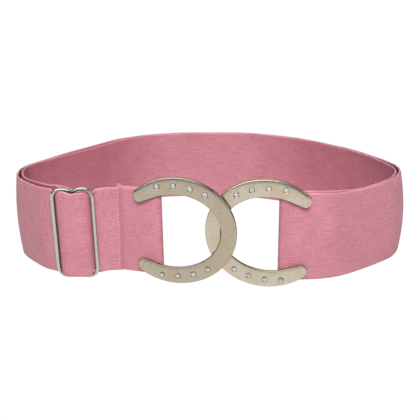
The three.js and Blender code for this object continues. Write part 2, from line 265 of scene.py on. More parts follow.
def shoe_height(shoe):
    """How high the middle of a drooping horseshoe's outer curve is when it touches the floor."""
    _, a, b, _ = PLATE["outer"]
    return math.hypot(b * math.cos(shoe["droop"]), a * math.sin(shoe["droop"]))


def along_shoe(shoe, side, along, back):
    """A place along and behind a shoe: its arch's end and a yawed step, leftwards if side is -1."""
    return np.array([shoe["x"], shoe["y"]]) + along_yaw(SHOE_YAW, side * along, back)


def loop_lift(shoe):
    """The lift of the elastic at a shoe's bar: the lower lug's top, less the droop that far out."""
    droop = (shoe["bar_at"] - PLATE["outer"][0]) * math.sin(shoe["droop"])
    return shoe_height(shoe) - droop + BAR["low"][1] + GAP


def band_route():
    """Places on the strip's middle line, from its first end to its last, as x, y and lift. The
    inner layer is the outer one moved inwards, square to the line through its neighbours."""
    outer = STATIONS[:, [0, 1, 3]]
    step = np.vstack([outer[1:2] - outer[:1], outer[2:] - outer[:-2], outer[-1:] - outer[-2:-1]])
    inward = np.column_stack([-step[:, 1], step[:, 0]]) / np.hypot(step[:, 0], step[:, 1])[:, None]
    inner = outer.copy()
    inner[:, :2] += inward * STATIONS[:, 2:3]

    wrap = BAR["radius"] + GAP + THIN
    loop = SLIDER["wire"] + GAP + THIN
    turn = math.degrees(SHOE_YAW)
    right = along_shoe(RIGHT_SHOE, 1, RIGHT_SHOE["bar_at"] - RIGHT_SHOE["slack"], BAR_DEPTH)
    left = along_shoe(LEFT_SHOE, -1, LEFT_SHOE["bar_at"] - LEFT_SHOE["slack"], BAR_DEPTH)
    wires = [at_slider((side * SLIDER["side"], 0))[0, :2] for side in (-1, 1)]
    return np.vstack([
        at_slider((-12.6, 9.6), (-8.4, 6.0), (-4.8, 1.9)),
        arc((SLIDER["x"], SLIDER["y"]), loop, 231, 411, SLIDER_LIFT),
        at_slider((-7.4, 8.3), (-12.6, 12.4, 2.4)),
        inner[::-1],
        arc(right, wrap, 90 + turn, 270 + turn, loop_lift(RIGHT_SHOE)),
        outer,
        at_slider((-17.4, 5.2, 2.5)),
        arc(wires[0], loop + 0.1, 96, 36, SLIDER_LIFT),
        at_slider((-9.6, -2.2), (-6.6, -4.3), (-2.4, -5.0), (2.4, -5.0), (6.6, -4.3), (9.6, -2.2)),
        arc(wires[1], loop + 0.1, 136, 80, SLIDER_LIFT),
        [(-71, 22.9, 3.8), (-60, 22.3, 4.5), (-47, 18.9, 4.6)],
        arc(left, wrap, -90 + turn, 90 + turn, loop_lift(LEFT_SHOE)),
        [(-47, 21.3, 4.6), (-60.5, 24.9, 4.4)],
    ])


def smooth_curve(points, count=30):
    """The centripetal Catmull-Rom curve: each span is a cubic whose end slopes come from the two
    neighbouring spans, weighted by the square roots of their lengths."""
    p = np.vstack([2 * points[0] - points[1], points, 2 * points[-1] - points[-2]])
    p0, p1, p2, p3 = p[:-3], p[1:-2], p[2:-1], p[3:]
    pairs = ((p0, p1), (p1, p2), (p2, p3))
    d0, d1, d2 = (np.linalg.norm(b - a, axis=1, keepdims=True) ** 0.5 for a, b in pairs)
    m1 = ((p1 - p0) / d0 - (p2 - p0) / (d0 + d1) + (p2 - p1) / d1) * d1
    m2 = ((p2 - p1) / d1 - (p3 - p1) / (d1 + d2) + (p3 - p2) / d2) * d1
    t = np.linspace(0, 1, count, endpoint=False)[None, :, None]
    p1, p2, m1, m2 = (v[:, None] for v in (p1, p2, m1, m2))
    span = p1 + m1 * t + (3 * (p2 - p1) - 2 * m1 - m2) * t**2 + (2 * (p1 - p2) + m1 + m2) * t**3
    return np.vstack([span.reshape(-1, 3), points[-1:]])


def spaced(curve, coarse, fine, near=20, sharp=0.06, blur=41):
    """Points along a curve, coarse millimetres apart in the open and fine ones within near of the
    slider and wherever the curve turns more than sharp radians in a millimetre."""
    step = np.linalg.norm(np.diff(curve, axis=0), axis=1)
    length = np.concatenate([[0], np.cumsum(step)])
    turn = np.linalg.norm(np.gradient(tangents(curve), axis=0), axis=1) / np.gradient(length)
    close = np.hypot(curve[:, 0] - SLIDER["x"], curve[:, 1] - SLIDER["y"]) < near
    size = running_mean(np.where(close | (turn > sharp), fine, coarse), blur)
    count = np.concatenate([[0], np.cumsum(step / ((size[1:] + size[:-1]) / 2))])
    even = np.linspace(0, count[-1], int(count[-1]) + 1)
    at = np.interp(even, count, length)
    return places_at(at, length, curve), at


line, distance = spaced(smooth_curve(band_route()), 2.4, 0.7)
line[:, 2] = np.maximum(line[:, 2], 0)
print(f"elastic: {distance[-1]:.0f} mm long, {len(line)} sections")

# %% [markdown]
# ## The elastic's section
# A woven elastic isn't a flat plank. Its two selvedges are a little thicker than the middle, its
# edges are round, and it is squeezed where it has to pass the slider's round corners. At the ends
# of the loop the wall bulges outwards. All of this is a change to the section along the way, so the
# strip stays one grid. Its own UV map holds the place on the strip, in metres along and across.

# %% Elastic band
SPAN_POINTS = 24


def slider_half(side):
    """One half of the slider's wire, from dip to dip: four cubic curves and a straight side, each
    from its four control points. The left half's upper hump is a little lower."""
    w, h, s, p, d = (SLIDER[k] for k in ("side", "top", "straight", "peak", "dip"))
    hump, shoulder = SLIDER["left_hump"] if side < 0 else h, SLIDER["shoulder"]
    spans = [
        [(0, d), (2.2, d + 1.9), (4.4, hump), (p, hump)],
        [(p, hump), (11, hump), (w, shoulder), (w, s)],
        [(w, s), (w, s / 3), (w, -s / 3), (w, -s)],
        [(w, -s), (w, -shoulder), (11, -h), (p, -h)],
        [(p, -h), (4.4, -h), (2.2, -d - 2.3), (0, -d)],
    ]
    t = np.linspace(0, 1, SPAN_POINTS, endpoint=False)
    path = np.vstack([cubic(span, t) for span in spans])
    return np.vstack([path, [(0, -d)]]) * [side, 1]


def squeezed(points):
    """The half width left to the elastic: the lowest place at which a ball round each point of the
    slider's upper corners would touch it."""
    along, back = along_yaw(-SLIDER["yaw"], *(points[:, :2] - [SLIDER["x"], SLIDER["y"]]).T)
    corner = np.vstack([slider_half(side)[: 2 * SPAN_POINTS] for side in (-1, 1)])
    reach = SLIDER["wire"] + GAP + THIN
    left = reach**2 - (along[:, None] - corner[:, 0]) ** 2 - back[:, None] ** 2
    free = corner[:, 1] - np.sqrt(np.maximum(left, 0))
    limit = np.minimum(np.where(left > 0, free, HALF).min(axis=1), HALF)
    return running_mean(limit, 7), along, back


# Each selvedge is a bell of extra thickness: its share of the whole, its place and its width.
SELVEDGE = (0.16, 28.3, 0.9)


def band_section():
    """Offsets across the thickness and heights, as a ring: up the one face, over the round edge,
    down the other."""
    height = HALF - THIN
    flat = np.sin(np.linspace(-1, 1, 19) * np.pi / 2) * height
    thick = THIN * (1 + bell(np.abs(flat), *SELVEDGE))
    turn = np.radians([35, 65, 90, 115, 145])
    top = np.column_stack([THIN * np.cos(turn), height + THIN * np.sin(turn)])
    up, down = np.column_stack([thick, flat]), np.column_stack([-thick, flat])[::-1]
    return np.vstack([up, top, down, -top])


along = tangents(line * [1, 1, 0])
across = np.column_stack([along[:, 1], -along[:, 0], np.zeros(len(line))])
section = band_section()

# The strip turns back round the right horseshoe's bar at this length, from inner layer to outer.
right_bar = along_shoe(RIGHT_SHOE, 1, RIGHT_SHOE["bar_at"], BAR_DEPTH)
turn_back = float(distance[np.argmin(np.hypot(*(line[:, :2] - right_bar).T))])

# The seam is where the front layer passes this x, among the first sections of its last run.
SEAM_X, LAST_RUN, FIRST_SECTIONS = -60.9, 90, 40
run = np.flatnonzero(distance > distance[-1] - LAST_RUN)[:FIRST_SECTIONS]
seam_at = np.interp(SEAM_X, line[run, 0], distance[run])

# The small shapes that the cloth takes, each with its height or depth, its place and its width. The
# first two are measured along the slider, the sag along x, and the last three from the seam.
RIDE_UP, PRESSED = (1.1, -5, 3.2), (0.6, 0, 3)
SAG = (1.6, -100, 18)
RIDGE, FURROW, SLOPE = (0.3, -0.7, 0.8), (0.85, 1.3, 1.2), (0.3, 3.5, 3.5)
# The y of the loop's middle, and the one beyond which the wall counts as its back.
MIDDLE_Y, BACK_Y = 95, 90


def seam_line(up):
    """How far along the strip the seam is at each height: a slant plus two slow waves."""
    return seam_at + 0.7 * up / HALF + 0.22 * np.sin(up / 3.1) + 0.16 * np.sin(up / 1.7 + 1)


def band_rings():
    """The ring at each place: across times thickness and lean, and up times the squeezed height.
    The lean is a foot that grows downwards and a bulge in the middle, and fades in at the bends."""
    limit, slide, back = squeezed(line)
    share = (section[:, 1] / HALF + 1) / 2
    outward = np.sign(line[:, 0] * across[:, 0] + (line[:, 1] - MIDDLE_Y) * across[:, 1])
    fade = np.clip((np.abs(line[:, 0]) - LEAN["from"]) / (LEAN["to"] - LEAN["from"]), 0, 1)
    fade = fade**2 * (3 - 2 * fade)
    foot, bulge = np.where(line[:, :1] < 0, LEAN["left"], LEAN["right"]).T
    bent = (1 - share) * (foot[:, None] + 4 * bulge[:, None] * share)
    # A cut end is a ring without thickness, at the end of the line.
    thick = np.ones(len(line))
    thick[[0, -1]] = 0
    shift = thick[:, None] * section[:, 0] + (outward * fade)[:, None] * bent
    # Close in front of the slider the upper edge is pressed down by the dip, and rides up left of
    # that: at least 3 mm before the slider's middle and within 14 mm beside it.
    front = (back < -3) * (np.abs(slide) < 14)
    high = limit + front * (bell(slide, *RIDE_UP) - bell(slide, *PRESSED))
    # The lower edge goes down into the slider's corners until it nearly touches the wire.
    low = np.minimum(limit + THIN, HALF)
    tall = np.where(section[:, 1] > 0, high[:, None], low[:, None]) / HALF * section[:, 1]
    wave = 0.22 * np.sin(distance / 23) + 0.14 * np.sin(distance / 9.1 + 2)
    tall += (share**3)[None, :] * wave[:, None]
    # At the back left the inner layer's upper edge sags a little below the outer one's.
    inner = (distance < turn_back) * (line[:, 1] > BACK_Y)
    tall -= (share**2)[None, :] * (bell(line[:, 0], *SAG) * inner)[:, None]
    # The seam is a thin ridge with a furrow on its right, and it wavers a little with height.
    past = distance[:, None] - seam_line(section[:, 1])
    shift += bell(past, *RIDGE) - (bell(past, *FURROW) + bell(past, *SLOPE))
    rings = line[:, None, :] + across[:, None, :] * shift[:, :, None]
    rings[:, :, 2] = line[:, 2:3] + HALF + tall
    return rings


rings = band_rings() + SHIFT
rows, columns = rings.shape[:2]
uv = np.stack(np.broadcast_arrays(distance[:, None], section[None, :, 1]), axis=-1) * MM
band = mesh_object("elastic", rings, grid_faces(rows, columns), uv, smooth=60)
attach(band, "root")
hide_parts("elastic_strap")
print("elastic faces", len(band.data.polygons))

# %% [markdown]
# ## The slider
# A slider is one bent wire with a straight bar soldered across its middle. The outline dips at its
# top and bottom, where the bar joins. A circle carried along the outline gives the wire, and a
# second sweep gives the bar, whose ends are buried in the dips.

# %% Slider
# The sides of a round wire, and how deep the bar's ends are buried in the dips.
ROUND, BURIED = 20, 0.4


def upright(points, x, y, height, yaw):
    """A standing piece's points, x along, y up and z to the front, put in the belt's frame."""
    ground = along_yaw(yaw, points[..., 0], -points[..., 2])
    return np.stack([x + ground[0], y + ground[1], height + points[..., 1]], axis=-1) + SHIFT


def joined(*grids):
    """Several grids of (points, faces) as one: each next grid's faces count on from the last."""
    starts = np.cumsum([0] + [np.prod(points.shape[:-1]) for points, _ in grids])
    points = np.vstack([points.reshape(-1, 3) for points, _ in grids])
    return points, np.vstack([faces + start for (_, faces), start in zip(grids, starts)])


outline = np.vstack([slider_half(1)[:-1], slider_half(-1)[::-1][:-1]])
# A mean with both neighbours, taken twice, softens the kinks where two cubics meet.
for _ in range(2):
    outline = (np.roll(outline, 1, axis=0) + 2 * outline + np.roll(outline, -1, axis=0)) / 4
outline = np.column_stack([outline, np.zeros(len(outline))])
bar_path = np.linspace(-1, 1, 12)[:, None] * [0, SLIDER["dip"] + BURIED, 0]
wire = circle(SLIDER["wire"], ROUND)
around, bar = swept(outline, (0, 0, 1), wire, loop=True), swept(bar_path, (0, 0, 1), wire)
points, faces = joined(around, bar)
place = (SLIDER["x"], SLIDER["y"], SLIDER_HEIGHT, SLIDER["yaw"])
slider = mesh_object("slider_wire", upright(points, *place), faces)
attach(slider, "root")
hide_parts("slider")

# %% [markdown]
# ## The horseshoes
# Each horseshoe is a flat casting: a broad arch with two arms that end in rounded heels. Its
# outline is two ellipses, an outer and a smaller inner one, joined round the heels. The grid runs
# from heel to heel and across from the inner curve to the outer one. A point's depth follows from
# its distance to the outline, a quarter circle at the edge and then a slight crown, so the edge is
# round all the way, tips included.

# %% Plate


def ellipse(shape, start, end, count):
    """Points of an ellipse from start to end degrees, its shape given as in PLATE."""
    centre, a, b = shape[:3]
    turn = np.radians(np.linspace(start, end, count))
    return np.column_stack([centre + a * np.cos(turn), b * np.sin(turn)])


def plate_curves(count):
    """The outer and the inner curve from the upper heel's tip to the lower one's, each as count
    points. The points are closer together near the tips, as a cosine spaces them."""
    start = ellipse(PLATE["outer"], PLATE["outer"][3], 0, 2)[0]
    heel = (HEEL["x"], HEEL["y"])
    controls = (start, (HEEL["tip"], HEEL["tip_high"]), (HEEL["tip"], HEEL["tip_low"]), heel)
    outwards, inwards = (cubic(controls, np.linspace(0.5, end, 20)) for end in (0, 1))
    outer = ellipse(PLATE["outer"], PLATE["outer"][3], 180, 120)
    inner = ellipse(PLATE["inner"], PLATE["inner"][3], 180, 100)
    even = (1 - np.cos(np.pi * np.linspace(0, 1, count))) / 2
    curves = []
    for half in (np.vstack([outwards, outer[1:]]), np.vstack([inwards, inner])):
        whole = np.vstack([half, half[::-1][1:] * [1, -1]])
        length = np.concatenate([[0], np.cumsum(np.linalg.norm(np.diff(whole, axis=0), axis=1))])
        curves.append(places_at(even * length[-1], length, whole))
    return curves


def edge_distance(points, loop):
    """The distance from each point to the nearest piece of a closed outline."""
    a, b = loop, np.roll(loop, -1, axis=0)
    span = b - a
    size = np.maximum((span**2).sum(axis=1), 1e-12)
    away = points[:, None] - a
    t = np.clip((away * span).sum(axis=2) / size, 0, 1)
    return np.linalg.norm(away - t[..., None] * span, axis=2).min(axis=1)


# The edge's radius, and how far the face sinks from its middle line to its edges.
EDGE, CROWN = 0.8, 0.65
# The half width of a full arm, and how much of the front's rounding the back has.
FULL, BACK_SHARE = 5, 0.6
# How much sharper a full arm's inner edge is, and from where and over what part across that ends.
SHARPER, LOST_FROM, LOST_OVER = 0.7, 0.35, 0.3
outer_curve, inner_curve = plate_curves(170)
share = np.array([0, 0.004, 0.012, 0.025, 0.042, 0.065, 0.11, 0.2, 0.35, 0.5])
share = np.concatenate([share, 1 - share[::-1][1:]])
flat = inner_curve[:, None] * (1 - share[:, None]) + outer_curve[:, None] * share[:, None]
ring = np.vstack([outer_curve, inner_curve[::-1][1:-1]])
depth = edge_distance(flat.reshape(-1, 2), ring).reshape(flat.shape[:2])
half_width = np.linalg.norm(outer_curve - inner_curve, axis=1)[:, None] / 2
middle = np.minimum(half_width / FULL, 1) ** 2
inner_side = 1 - np.clip((share - LOST_FROM) / LOST_OVER, 0, 1)
radius = EDGE * (1 - SHARPER * middle * inner_side)
rounding = radius - np.sqrt(np.maximum(radius**2 - (radius - np.minimum(depth, radius)) ** 2, 0))
# The face is crowned: its middle line is highest and sinks towards the tips, where the arm narrows.
front = -rounding - CROWN * (1 - (1 - (2 * share - 1) ** 2) * middle)
back = -PLATE["thickness"] + BACK_SHARE * rounding
front_points = np.concatenate([flat, front[..., None]], axis=2)
back_points = np.concatenate([flat, back[..., None]], axis=2)[:, ::-1]
plate_rings = np.concatenate([front_points, back_points], axis=1)
plate = with_faces(plate_rings)
print("plate", plate_rings.shape, "widest arm", round(float(depth.max() * 2), 2))

# %% [markdown]
# ## Seats, bar and hook
# The stones sit in drilled seats, so the same lathe-turned cutter is taken out of the plate at each
# place. Behind the plate two lugs carry the round bar that the elastic goes round, and the left
# horseshoe has a flat tongue that hooks behind the right one's arch. They are hidden from the
# front, but a clasp needs them, and from behind they show. The pieces of a casting overlap before
# the cut, so the boolean also joins them: its self option makes one skin of them all.

# %% Horseshoes


def stone_places():
    """The stones' centres: four on an ellipse round the upper arm, and four mirrored below."""
    turn = np.radians(STONES["first"] + STONES["step"] * np.arange(STONES["count"]))
    x = STONES["centre"] - STONES["a"] * np.cos(turn)
    y = STONES["b"] * np.sin(turn)
    return np.vstack([np.column_stack([x, y]), np.column_stack([x, -y])])


def lathe(profile, sides):
    """A profile of (radius, depth) pairs turned about the z axis."""
    radius, z = profile[:, :1], profile[:, 1:]
    cos, sin = circle(1, sides).T
    return with_faces(np.stack([radius * cos, radius * sin, z + 0 * cos], axis=-1))


# A seat's radius at each depth: mouth, narrow shoulder, chamfer, wall and pointed end.
SEAT = np.array([
    (0, 1), (2.4, 1), (2.25, 0.02), (2.12, -0.06), (1.85, -0.2), (1.72, -1.25), (0, -1.6),
])
SEAT_SIDES = 28


def in_belt(points, shoe, heels_left):
    """A shoe's points, x from the arch to the heels, turned by its droop and put in the belt."""
    middle = PLATE["outer"][0]
    turn = math.pi + shoe["droop"] if heels_left else -shoe["droop"]
    x, y = points[..., 0] - middle, points[..., 1]
    turned = points.copy()
    turned[..., 0] = x * math.cos(turn) - y * math.sin(turn)
    turned[..., 1] = x * math.sin(turn) + y * math.cos(turn)
    foot = along_shoe(shoe, -1 if heels_left else 1, middle, 0)
    return upright(turned, *foot, shoe_height(shoe), SHOE_YAW)


def rounded_path(corners, radius, count=7):
    """A path through corners, each inner one cut by a quadratic curve of about that radius."""
    corners = np.array(corners, float)
    t = np.linspace(0, 1, count)[:, None]
    pieces = [corners[:1]]
    for before, corner, after in zip(corners, corners[1:], corners[2:]):
        a = corner + (before - corner) / np.linalg.norm(before - corner) * radius
        b = corner + (after - corner) / np.linalg.norm(after - corner) * radius
        pieces.append(a * (1 - t) ** 2 + 2 * corner * t * (1 - t) + b * t**2)
    return np.vstack([*pieces, corners[-1:]])


def bar_grids(shoe, heels_left):
    """Two flattened lugs that stand out behind a plate, and the round bar between them."""
    flip = -1 if heels_left else 1
    x, lugs, ends = shoe["bar_at"], [], []
    for low, high in (BAR["low"], BAR["high"]):
        y = flip * (low + high) / 2
        ends.append((x, y, -BAR_DEPTH))
        path = np.array([(x, y, -PLATE["thickness"] / 2), (x, y, -BAR_DEPTH - BAR["lug"])])
        oval = circle(1, ROUND) * [(high - low) / 2, BAR["lug"]]
        lugs.append(swept(path, (1, 0, 0), oval))
    return [*lugs, swept(np.array(ends), (1, 0, 0), circle(BAR["radius"], ROUND))]


def hook_grid():
    """A rounded strip swept from inside the arch and along behind the other plate. Its section is a
    squarish oval: the sizes of the cosine and the sine are raised to powers below one."""
    half, thick = HOOK["height"] / 2, HOOK["lip"] / 2
    turn = np.radians(np.arange(9, 360, 18))
    cos, sin = np.cos(turn), np.sin(turn)
    wide = thick * np.sign(cos) * np.abs(cos) ** 0.5
    tall = half * np.sign(sin) * np.abs(sin) ** 0.35
    depth = -2 * PLATE["thickness"] - 2 * GAP - thick
    start, inside, bend = HOOK["from"] + HOOK["stem"] / 2, -1.5, 2.2
    path = rounded_path([(start, 0, inside), (start, 0, depth), (HOOK["reach"], 0, depth)], bend)
    return swept(path, (0, 1, 0), np.column_stack([wide, tall]))


def horseshoe(name, shoe, heels_left):
    """One casting in its place, with a hook if its heels are on the left, and its seats cut out."""
    parts = [plate, *bar_grids(shoe, heels_left)] + ([hook_grid()] if heels_left else [])
    points, faces = joined(*parts)
    made = mesh_object(name + "_shoe", in_belt(points, shoe, heels_left), faces)
    seat, seat_faces = lathe(SEAT, SEAT_SIDES)
    places = np.pad(stone_places(), ((0, 0), (0, 1)))
    seats = joined(*[(seat + place, seat_faces) for place in places])
    cutter = mesh_object(name + "_cutter", in_belt(seats[0], shoe, heels_left), seats[1])
    cut = made.modifiers.new("seats", "BOOLEAN")
    cut.operation, cut.solver, cut.object, cut.use_self = "DIFFERENCE", "EXACT", cutter, True
    scene_now = bpy.context.evaluated_depsgraph_get()
    result = bpy.data.meshes.new_from_object(made.evaluated_get(scene_now))
    made.modifiers.clear()
    made.data = result
    result.set_sharp_from_angle(angle=math.radians(33))
    bpy.data.objects.remove(cutter)
    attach(made, "root")
    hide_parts(name + "_horseshoe")
    print(name, "horseshoe faces", len(result.polygons))
    return made


shoes = [horseshoe("left", LEFT_SHOE, True), horseshoe("right", RIGHT_SHOE, False)]

# %% [markdown]
# ## Stitches and frayed ends
# Two short rows of stitches hold the strip's ends: the seam beside the clasp, which shows on the
# front, and the one behind the slider. Each stitch is a small spindle of thread, pressed into the
# weave. At the cut ends a few yarns have worked loose, and they are thin tapering hairs with a bend
# in them. All stitches are one mesh, and so are all hairs.

# %% Thread


def on_band(at, side, up):
    """Places on the band's face: the line's point, half the thickness across, at a height."""
    point, out = places_at(at, distance, line), places_at(at, distance, across)
    out *= np.broadcast_to(side, len(out))[:, None] / np.linalg.norm(out, axis=1, keepdims=True)
    return point + out * THIN + np.array([0, 0, 1.0]) * (HALF + up)[:, None] + SHIFT, out


def ring_turns(sides):
    """The cosines and the sines of equal turns, shaped to go round many pieces' rings at once."""
    return (c[None, None, :, None] for c in circle(1, sides).T)


def many(grid):
    """Many small grids of one size, together with the faces of them all."""
    count, rows, columns = grid.shape[:3]
    starts = np.arange(count) * rows * columns
    return grid, (grid_faces(rows, columns)[None] + starts[:, None, None]).reshape(-1, 4)


def spindles(centre, along, out, half, radius):
    """One spindle for each centre. A ring's radius is the square root of one minus its place
    squared, made a little blunter by a power, and the spindle is flattened against the cloth."""
    blunt, flattened = 0.7, 0.8
    t = np.linspace(-1, 1, 7)
    swell = np.sqrt(np.maximum(1 - t**2, 0)) ** blunt
    axes = (along * half[:, None], np.cross(along, out) * radius, out * radius * flattened)
    a, b, c = (v[:, None, None] for v in axes)
    t, swell = t[None, :, None, None], swell[None, :, None, None]
    cos, sin = ring_turns(6)
    return many(centre[:, None, None] + a * t + swell * (b * cos + c * sin))


chance = np.random.default_rng(7)
# A row of stitches stops short of the selvedges, and its stitches stand a little proud of the
# cloth, tilt and differ in length.
SHORT, PROUD, TILT, UNEVEN = 1.2, 0.16, 0.16, 0.1


def stitch_row(line_at, pitch, radius, share, scatter):
    """Stitches up the band's face, each at the place along the strip that line_at gives, give or
    take a scatter. A stitch fills a share of its pitch."""
    count = int(2 * (HALF - SHORT) / pitch)
    up = np.linspace(-HALF + SHORT, HALF - SHORT, count)
    centre, out = on_band(line_at(up) + chance.normal(0, scatter, count), 1, up)
    lean = unit(np.column_stack([chance.normal(0, TILT, (count, 2)), np.ones(count)]))
    half = pitch * share / 2 + chance.normal(0, UNEVEN, count)
    return spindles(centre + PROUD * out, lean, out, half, radius)


# The seam's row runs just before the seam's line, and the other one near the strip's first end.
BEFORE_SEAM, FIRST_ROW = 0.35, 6.5
rows_of_thread = [
    stitch_row(lambda up: seam_line(up) - BEFORE_SEAM, 2.2, radius=0.23, share=0.55, scatter=0.2),
    stitch_row(lambda up: FIRST_ROW + 0 * up, 2.4, radius=0.25, share=0.8, scatter=0.1),
]
points, faces = joined(*rows_of_thread)
stitches = mesh_object("stitches", points, faces)


# Hairs lose this share of their radius, and their directions spread this far.
TAPER, SPLAY = 0.75, 0.45


def hairs(start, away, reach, radius, bend):
    """Tapering hairs: a point is the start plus reach times t along away, plus bend times t
    squared, and the radius shrinks towards the tip. Only the part of bend that is square to away is
    used, so no hair folds back on itself."""
    bend = bend - (bend * away).sum(axis=1, keepdims=True) * away
    t = np.linspace(0, 1, 6)[None, :, None]
    path = start[:, None] + away[:, None] * reach[:, None, None] * t + bend[:, None] * t**2
    # Two directions square to each hair, from a slanting vector that no hair runs along.
    helper = unit(np.cross(away, [0.3, 0.5, 0.8]))
    other = np.cross(away, helper)
    cos, sin = ring_turns(4)
    thin = radius * (1 - TAPER * t[..., None])
    grid = path[:, :, None] + thin * (helper[:, None, None] * cos + other[:, None, None] * sin)
    tips = path[:, [0, -1], None] + 0 * grid[:, :2]
    return many(np.concatenate([tips[:, :1], grid, tips[:, 1:]], axis=1))


def frayed_end(at, count, forward):
    """Hairs along a cut end, most of them near its upper corner, where they also point up."""
    up = HALF - 0.3 - 2 * HALF * 0.97 * chance.beta(0.5, 1.3, count)
    side = chance.choice([-1.0, 1.0], count)
    centre, out = on_band(np.full(count, at), side, up)
    centre -= out * THIN * chance.uniform(0.4, 1.6, count)[:, None]
    along_end = np.cross([0, 0, 1.0], out) * side[:, None] * forward
    away = along_end + chance.normal(0, SPLAY, (count, 3)) + [0, 0, 0.25]
    away[:, 2] += 1.2 * (up > HALF - 3)
    reach = chance.uniform(0.8, 2.4, count)
    bend = chance.normal(0, 0.5, (count, 3))
    return hairs(centre, unit(away), reach, 0.09, bend)


def tuft(at, count):
    """Hairs that stand up above the upper corner of a cut end, where its last yarns came loose."""
    spread = chance.normal(0, 0.7, count)
    centre, out = on_band(at + spread, 1.0, np.full(count, HALF - 0.6))
    centre -= out * THIN * chance.uniform(0.2, 1.8, count)[:, None]
    away = unit(chance.normal(0, SPLAY, (count, 3)) + [0, 0, 1])
    reach = chance.uniform(1.2, 3.4, count)
    bend = chance.normal(0, 0.7, (count, 3))
    return hairs(centre, away, reach, 0.1, bend)


# Only the last end, beside the seam, has a tuft.
last = distance[-1]
points, faces = joined(frayed_end(last, 90, 1), tuft(last - 0.8, 26), frayed_end(0.0, 70, -1))
fray = mesh_object("fray", points, faces)
for piece in (stitches, fray):
    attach(piece, "root")
print("thread", len(stitches.data.polygons), "faces, fray", len(fray.data.polygons))

# %% [markdown]
# ## Shader sums as plain Python
# A material is a small sum: bands of thread, speckle and wear are added and multiplied. Wrapping a
# socket in a class that knows plus, minus and times lets the sum be written as it is thought, and
# each operator adds its own Math node. Any other node comes from one method.

# %% Shader helpers


class Value:
    """A number that comes out of a socket. Python's operators on it add Math nodes."""

    def __init__(self, paint, socket):
        self.paint, self.socket = paint, socket

    def maths(self, operation, *others, clamp=False):
        """One Math node on this number and the others. clamp keeps its result between 0 and 1."""
        made = self.paint.add("Math", {"operation": operation, "use_clamp": clamp})
        for i, other in enumerate((self, *others)):
            self.paint.feed(made.inputs[i], other)
        return Value(self.paint, made.outputs[0])

    def __add__(self, other):
        return self.maths("ADD", other)

    def __mul__(self, other):
        return self.maths("MULTIPLY", other)

    def __sub__(self, other):
        return self.maths("SUBTRACT", other)

    def __truediv__(self, other):
        return self.maths("DIVIDE", other)

    __radd__, __rmul__ = __add__, __mul__

    def wave(self, pitch):
        """A ripple from 0 to 1 that repeats every pitch."""
        return (self * (2 * math.pi / pitch)).maths("SINE") * 0.5 + 0.5

    def step(self, low, high):
        """0 below low, 1 above high, and even in between."""
        return ((self - low) / (high - low)).maths("ADD", 0.0, clamp=True)


class Paint:
    """One material, its nodes and its Principled shader, whose fixed numbers are set here."""

    def __init__(self, name, **fixed):
        self.material = bpy.data.materials.new(name)
        self.material.use_nodes = True
        self.tree = self.material.node_tree
        self.tree.nodes.clear()
        self.shader = self.add("BsdfPrincipled", {})
        out = self.add("OutputMaterial", {})
        self.tree.links.new(self.shader.outputs[0], out.inputs["Surface"])
        for socket, value in fixed.items():
            self.shader.inputs[socket.replace("_", " ")].default_value = value

    def add(self, kind, settings, **values):
        """One shader node of a kind, with its settings and what goes into its sockets."""
        node = self.tree.nodes.new("ShaderNode" + kind)
        for name, value in settings.items():
            setattr(node, name, value)
        for name, value in values.items():
            self.feed(node.inputs[name.replace("_", " ")], value)
        return node

    def feed(self, socket, value):
        """A link into the socket, or a fixed number for it."""
        if isinstance(value, Value):
            self.tree.links.new(value.socket, socket)
        else:
            socket.default_value = value

    def out(self, node, name=0):
        return Value(self, node.outputs[name])

    def place(self, scale=(1, 1, 1), uv=False):
        """Object coordinates, or the piece's own map, in millimetres and then scaled."""
        if uv:
            where = self.out(self.add("UVMap", {"uv_map": "along"}), "UV")
        else:
            where = self.out(self.add("TexCoord", {}), "Object")
        scaled = self.add("VectorMath", {"operation": "MULTIPLY"})
        self.feed(scaled.inputs[0], where)
        self.feed(scaled.inputs[1], tuple(s / MM for s in scale))
        return self.out(scaled)

    def noise(self, where, size, detail=3.0, rough=0.55):
        """Speckle whose blotches are about size millimetres across, in the scaled place."""
        scale = 1 / size
        node = self.add("TexNoise", {}, Vector=where, Scale=scale, Detail=detail, Roughness=rough)
        return self.out(node, "Fac")

    def blend(self, share, low, high):
        """A colour between two, by share. A Mix node's colours go into its sockets 6 and 7."""
        node = self.add("Mix", {"data_type": "RGBA"})
        self.feed(node.inputs[0], share)
        self.feed(node.inputs[6], low if isinstance(low, Value) else (*low, 1))
        self.feed(node.inputs[7], high if isinstance(high, Value) else (*high, 1))
        return self.out(node, 2)

    def finish(self, colour, rough, height, depth, strength=1.0):
        """Colour, roughness and a bump of so many millimetres go to the shader."""
        self.feed(self.shader.inputs["Base Color"], colour)
        self.feed(self.shader.inputs["Roughness"], rough)
        bump = self.add("Bump", {}, Height=height, Distance=depth * MM, Strength=strength)
        self.feed(self.shader.inputs["Normal"], self.out(bump, "Normal"))
        return self.material


def wear(piece, material):
    """Gives a piece, new or carried over, one material."""
    piece.data.materials.clear()
    piece.data.materials.append(material)


# %% [markdown]
# ## Woven elastic
# The strip's own map says how far along and across it each place is. The yarns run lengthwise and
# aren't all alike, so short dashes of lighter and duller pink lie along the belt like heather, and
# the picks that cross them show as fainter upright marks. Broad soft blotches come from handling.
# The bump follows the same marks, which keeps the cloth from looking painted. The inner layer's
# pink is deeper towards the belt's sides: painted shade, for the dimmer light inside the loop. A
# lighter line along both edges is a painted highlight, and a deeper band beside the seam is painted
# shade in its furrow.

# %% Elastic
# Each layer has a duller and a lighter yarn; the inner layer's deeper pair is painted shade. The
# painted highlight on the edges and the painted shade in the seam's furrow have one colour each.
OUTER = ((0.325, 0.108, 0.137), (0.535, 0.222, 0.267))
INNER_SHADE_PINK = ((0.282, 0.075, 0.102), (0.466, 0.155, 0.199))
EDGE_HIGHLIGHT_PINK, FURROW_SHADE_PINK = (0.6, 0.3, 0.34), (0.33, 0.085, 0.12)
# The painted furrow shade's place past the seam, its width, and the seam's slant.
FURROW_SHADE_AT, FURROW_SHADE_WIDE, SLANT = 1.4, 1.9, 0.023

